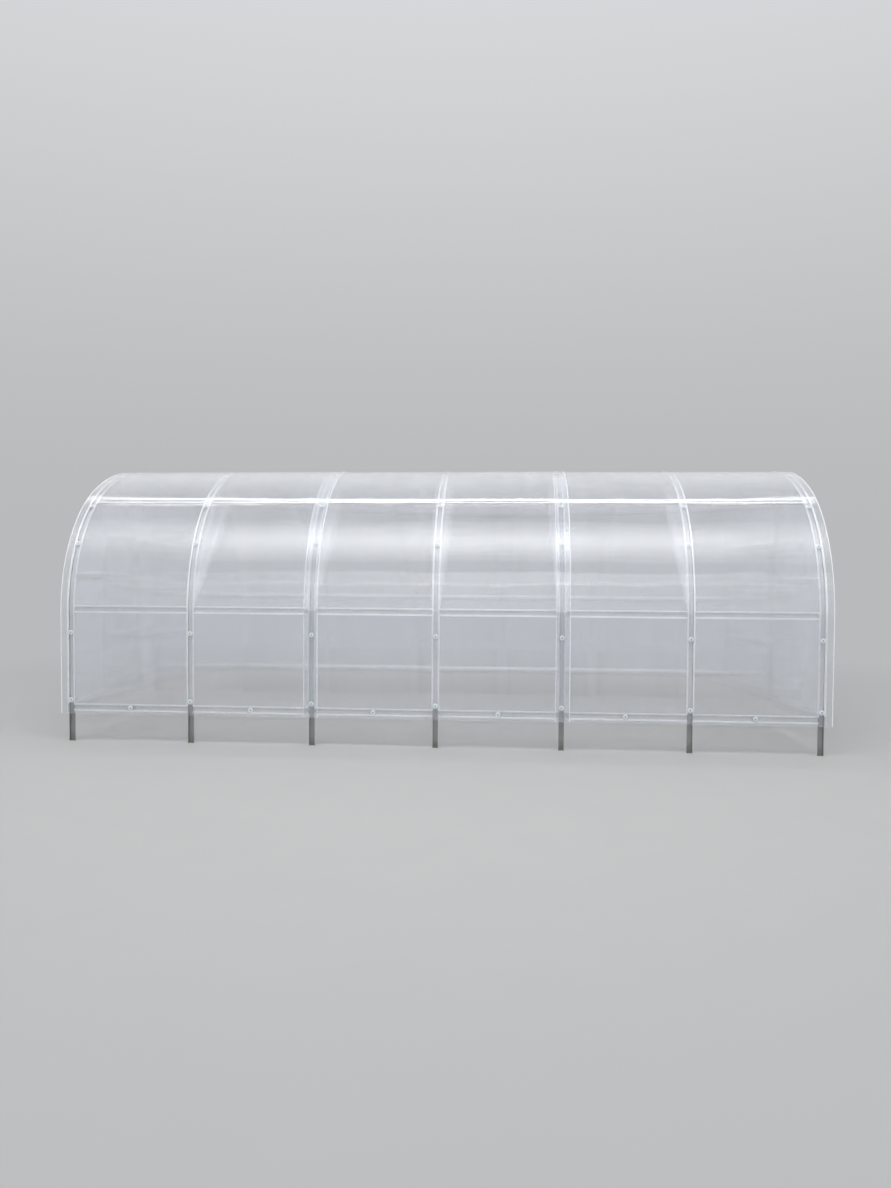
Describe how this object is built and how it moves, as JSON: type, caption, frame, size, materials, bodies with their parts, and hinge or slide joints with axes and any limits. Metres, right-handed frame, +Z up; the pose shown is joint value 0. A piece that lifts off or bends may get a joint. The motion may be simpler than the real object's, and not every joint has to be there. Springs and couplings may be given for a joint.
{
  "type": "polycarbonate greenhouse",
  "caption": "Arched greenhouse: galvanised hat-profile frame on channel legs, clad in clear lapped polycarbonate sheet, with a hinged door in each end wall.",
  "frame": {"origin": "middle of the footprint, level with the undersides of the legs", "axes": "+X along the ridge, +Y from the front wall to the back wall, +Z up"},
  "size_m": [6.17, 3.0176, 2.3392],
  "materials": {
    "galvanised_steel": "dull spangled zinc",
    "leg_steel": "dull zinc, slightly weathered",
    "clear_polycarbonate": "clear twin-wall sheet, glossy",
    "zinc_fittings": "bright zinc",
    "washer_plastic": "translucent grey plastic",
    "screw_steel": "zinc plated"
  },
  "bodies": {
    "frame": {"arch_1": "galvanised_steel", "arch_2": "galvanised_steel", "arch_3": "galvanised_steel", "arch_4": "galvanised_steel", "arch_5": "galvanised_steel", "arch_6": "galvanised_steel", "arch_7": "galvanised_steel", "legs_front": "leg_steel", "legs_back": "leg_steel", "struts_front": "galvanised_steel", "struts_back": "galvanised_steel", "base_rail_front": "galvanised_steel", "base_rail_back": "galvanised_steel", "mid_purlin_front": "galvanised_steel", "mid_purlin_back": "galvanised_steel", "upper_purlin_front": "galvanised_steel", "upper_purlin_back": "galvanised_steel", "ridge_purlin": "galvanised_steel", "roof_sheet_left": "clear_polycarbonate", "roof_sheet_middle": "clear_polycarbonate", "roof_sheet_right": "clear_polycarbonate", "left_end_rail": "galvanised_steel", "left_door_posts": "galvanised_steel", "left_side_rails": "galvanised_steel", "left_lintel": "galvanised_steel", "left_end_panel_near_handle": "clear_polycarbonate", "left_end_panel_near_hinges": "clear_polycarbonate", "left_end_panel_over_door": "clear_polycarbonate", "left_post_hinges": "zinc_fittings", "right_end_rail": "galvanised_steel", "right_door_posts": "galvanised_steel", "right_side_rails": "galvanised_steel", "right_lintel": "galvanised_steel", "right_end_panel_near_handle": "clear_polycarbonate", "right_end_panel_near_hinges": "clear_polycarbonate", "right_end_panel_over_door": "clear_polycarbonate", "right_post_hinges": "zinc_fittings"},
    "left_door": {"left_door_frame": "galvanised_steel", "left_door_sheet": "clear_polycarbonate", "left_door_handle": "zinc_fittings", "left_door_hinges": "zinc_fittings"},
    "right_door": {"right_door_frame": "galvanised_steel", "right_door_sheet": "clear_polycarbonate", "right_door_handle": "zinc_fittings", "right_door_hinges": "zinc_fittings"}
  },
  "joints": [
    {"name": "right_door_hinge", "type": "hinge", "parent": "frame", "child": "right_door", "pos_m": [3.0401, 0.4975, 0.97], "axis": [0, 0, 1], "range_deg": [0, 110]},
    {"name": "left_door_hinge", "type": "hinge", "parent": "frame", "child": "left_door", "pos_m": [-3.0401, -0.4975, 0.97], "axis": [0, 0, 1], "range_deg": [0, 110]}
  ]
}
